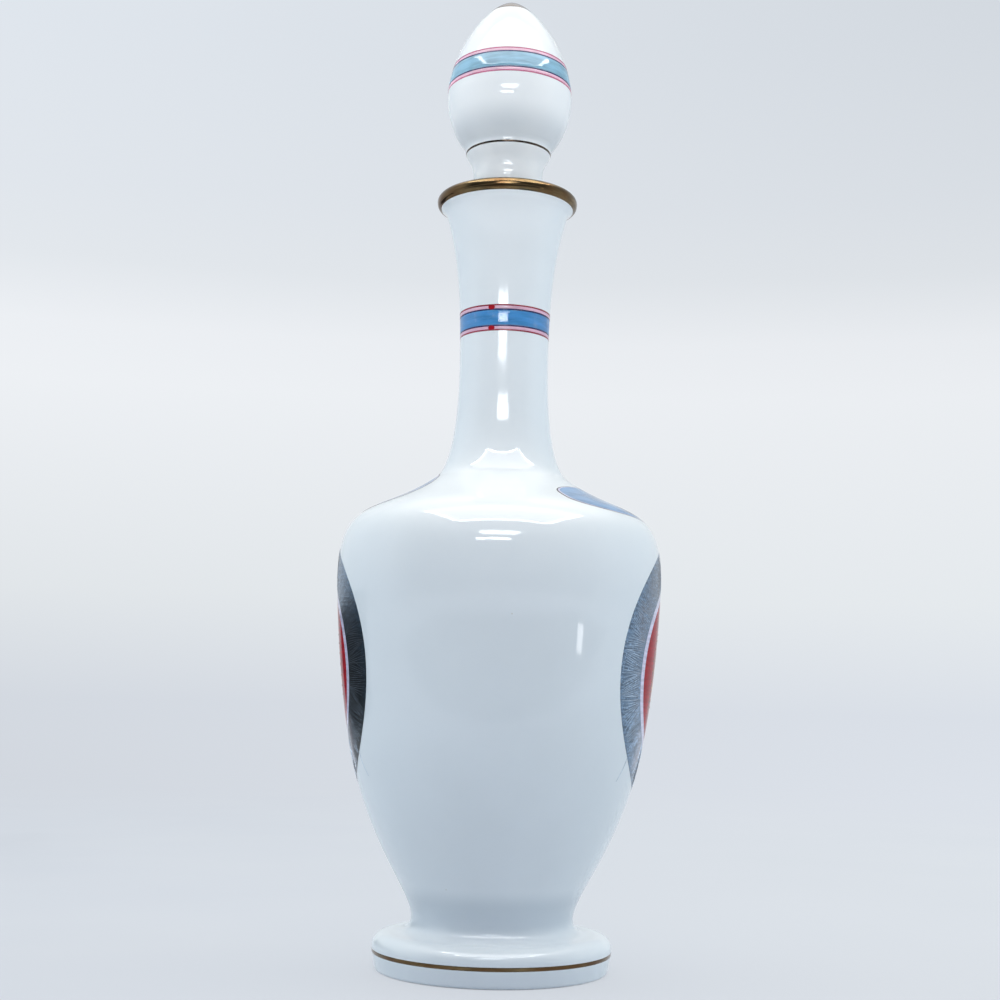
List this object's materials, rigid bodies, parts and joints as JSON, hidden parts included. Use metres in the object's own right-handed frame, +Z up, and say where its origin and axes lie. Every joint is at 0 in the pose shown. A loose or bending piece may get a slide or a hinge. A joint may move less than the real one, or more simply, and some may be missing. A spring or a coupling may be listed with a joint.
{
  "type": "decanter",
  "caption": "Footed glazed porcelain decanter with a slender neck, a turned-out lip and an egg-shaped stopper held by a cork sleeve.",
  "frame": {"origin": "middle of the resting plane, on the axis everything is turned about", "axes": "+Z up the axis from foot to stopper; +X and +Y lie on the surface it stands on, and -Y faces the picture's camera"},
  "size_m": [0.098, 0.098, 0.3001],
  "materials": {
    "porcelain": "clear high gloss glaze on white porcelain",
    "cork": "cut natural cork, matt",
    "gilding": "fired liquid gold, thin and bright",
    "blue_enamel": "gloss on-glaze enamel",
    "rose_enamel": "gloss on-glaze enamel",
    "red_enamel": "gloss on-glaze enamel"
  },
  "bodies": {
    "bottle": {"vessel": "porcelain"},
    "cork": {"cork_sleeve": "cork"},
    "stopper": {"stopper_head": "porcelain"}
  },
  "joints": [
    {"name": "stopper_lift", "type": "slide", "parent": "bottle", "child": "cork", "axis": [0, 0, 1], "range_m": [0, 0.055]},
    {"name": "stopper_turn", "type": "hinge", "parent": "cork", "child": "stopper", "pos_m": [0, 0, 0.2], "axis": [0, 0, 1], "continuous": true}
  ]
}
